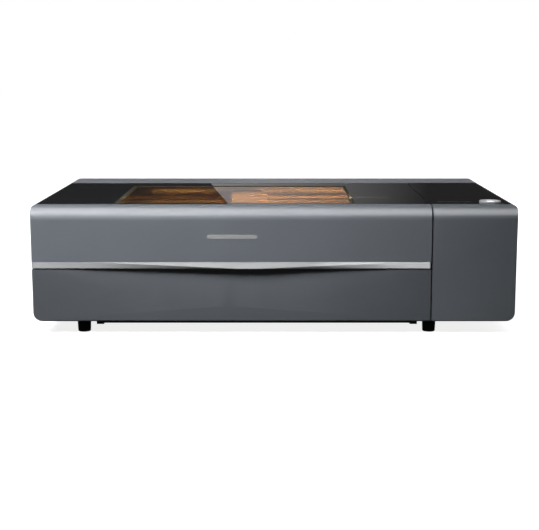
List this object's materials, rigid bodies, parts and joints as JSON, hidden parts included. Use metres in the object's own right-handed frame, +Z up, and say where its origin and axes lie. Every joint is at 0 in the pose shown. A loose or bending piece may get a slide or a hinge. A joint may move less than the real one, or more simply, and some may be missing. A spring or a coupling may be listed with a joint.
{
  "type": "desktop laser cutter",
  "caption": "Long low desktop laser cutter with a lift-up lid, amber viewing window, electronics cabinet, X/Y laser gantry, slatted bed and rear exhaust collar.",
  "frame": {"origin": "middle of the footprint at table level, halfway across the overall width and overall depth", "axes": "+X to the right seen from the front, +Y to the back, +Z up; the front faces -Y"},
  "size_m": [1, 0.639, 0.2715],
  "materials": {
    "case_paint": "satin dark grey powder coat",
    "cabinet_panel": "satin",
    "black_glass": "gloss, printed black behind",
    "amber_window": "clear amber laser filter",
    "brushed_trim": "brushed along its length",
    "button_ring": "polished",
    "button_cap": "translucent white",
    "black_plastic": "matte",
    "rubber": "matte",
    "zinc_sheet": "mill finish",
    "aluminium": "anodised",
    "dark_aluminium": "black anodised",
    "steel": "bright",
    "motor_black": "matte",
    "belt_rubber": "matte",
    "tube_glass": "clear",
    "clamp_blue": "satin",
    "duct_sheet": "mill finish",
    "switch_red": "gloss",
    "tank_plastic": "translucent",
    "radiator_metal": "painted",
    "psu_metal": "mill finish",
    "board_green": "solder mask",
    "hose": "translucent",
    "light_white": "diffuser",
    "lens": "clear",
    "brass": "satin"
  },
  "bodies": {
    "case": {"base_pan": "case_paint", "front_panel": "case_paint", "left_side_panel": "case_paint", "rear_panel": "case_paint", "rear_top_cover": "case_paint", "cabinet_shell": "cabinet_panel", "cabinet_frame": "cabinet_panel", "cabinet_glass": "black_glass", "button_ring": "button_ring", "chamber_sides": "zinc_sheet", "rear_bulkhead": "zinc_sheet", "bottom_plate": "black_plastic", "rubber_feet": "rubber", "lid_hinges": "steel", "crumb_tray": "zinc_sheet", "slats": "aluminium", "y_rails": "steel", "y_belts": "belt_rubber", "shaft_brackets": "steel", "y_motor": "motor_black", "laser_tube": "tube_glass", "tube_clamps": "clamp_blue", "first_mirror": "aluminium", "exhaust_duct": "duct_sheet", "exhaust_fan_frame": "black_plastic", "exhaust_collar": "black_plastic", "rear_tunnel": "duct_sheet", "power_inlet": "black_plastic", "usb_port": "steel", "panel_screws": "steel", "coolant_tank": "tank_plastic", "radiator": "radiator_metal", "hv_power_supply": "psu_metal", "main_board": "board_green", "coolant_hoses": "hose"},
    "lid": {"lid_shell": "case_paint", "lid_inner_frame": "dark_aluminium", "lid_glass": "black_glass", "lid_window": "amber_window", "lid_handle": "brushed_trim", "badge_plate": "brushed_trim", "lid_camera": "black_plastic", "cabin_light": "light_white"},
    "gantry": {"gantry_beam": "aluminium", "gantry_trucks": "dark_aluminium", "x_motor": "motor_black", "x_belt": "belt_rubber"},
    "x_motor_pulley": {"x_motor_pulley": "aluminium"},
    "x_idler_pulley": {"x_idler_pulley": "aluminium"},
    "laser_head": {"head_body": "dark_aluminium"},
    "focus_group": {"focus_tube": "aluminium", "focus_lens": "lens", "nozzle": "brass"},
    "y_drive": {"y_drive_shaft": "steel"},
    "y_idlers": {"y_idler_pulleys": "aluminium"},
    "start_button": {"start_button": "button_cap"},
    "exhaust_rotor": {"exhaust_rotor": "black_plastic"},
    "radiator_rotor": {"radiator_rotor": "black_plastic"},
    "rear_flap": {"rear_flap": "black_plastic"},
    "power_rocker": {"power_rocker": "switch_red"}
  },
  "joints": [
    {"name": "lid_hinge", "type": "hinge", "parent": "case", "child": "lid", "pos_m": [0, 0.171, 0.2636], "axis": [-1, 0, 0], "range_deg": [0, 70]},
    {"name": "gantry_slide", "type": "slide", "parent": "case", "child": "gantry", "axis": [0, 1, 0], "range_m": [-0.315, 0.01]},
    {"name": "head_slide", "type": "slide", "parent": "gantry", "child": "laser_head", "axis": [1, 0, 0], "range_m": [-0.31, 0.24]},
    {"name": "focus_slide", "type": "slide", "parent": "laser_head", "child": "focus_group", "axis": [0, 0, 1], "range_m": [-0.012, 0.004]},
    {"name": "x_motor_pulley_turn", "type": "hinge", "parent": "gantry", "child": "x_motor_pulley", "pos_m": [0.226, 0.125, 0.237], "axis": [0, 0, 1], "range_deg": [-2800, 2160]},
    {"name": "x_idler_pulley_turn", "type": "hinge", "parent": "gantry", "child": "x_idler_pulley", "pos_m": [-0.4, 0.125, 0.237], "axis": [0, 0, 1], "range_deg": [-2800, 2160]},
    {"name": "y_drive_turn", "type": "hinge", "parent": "case", "child": "y_drive", "pos_m": [0, 0.15, 0.165], "axis": [-1, 0, 0], "range_deg": [-1900, 62]},
    {"name": "y_idler_turn", "type": "hinge", "parent": "case", "child": "y_idlers", "pos_m": [0, -0.268, 0.165], "axis": [-1, 0, 0], "range_deg": [-1900, 62]},
    {"name": "start_button_press", "type": "slide", "parent": "case", "child": "start_button", "axis": [0, 0, -1], "range_m": [0, 0.002], "stiffness_N_per_m": 500},
    {"name": "exhaust_fan_spin", "type": "hinge", "parent": "case", "child": "exhaust_rotor", "pos_m": [-0.4, 0.278, 0.098], "axis": [0, 1, 0], "continuous": true},
    {"name": "radiator_fan_spin", "type": "hinge", "parent": "case", "child": "radiator_rotor", "pos_m": [0.448, 0.105, 0.12], "axis": [1, 0, 0], "continuous": true},
    {"name": "rear_flap_swing", "type": "hinge", "parent": "case", "child": "rear_flap", "pos_m": [0, 0.3024, 0.147], "axis": [1, 0, 0], "range_deg": [0, 80]},
    {"name": "power_switch_rock", "type": "hinge", "parent": "case", "child": "power_rocker", "pos_m": [0.449, 0.292, 0.078], "axis": [1, 0, 0], "range_deg": [-16, 0]}
  ],
  "couplings": [
    {"joint": "x_motor_pulley_turn", "follows": "head_slide", "rad_per_m": 156.25},
    {"joint": "x_idler_pulley_turn", "follows": "head_slide", "rad_per_m": 156.25},
    {"joint": "y_drive_turn", "follows": "gantry_slide", "rad_per_m": 104.71},
    {"joint": "y_idler_turn", "follows": "gantry_slide", "rad_per_m": 104.71}
  ]
}
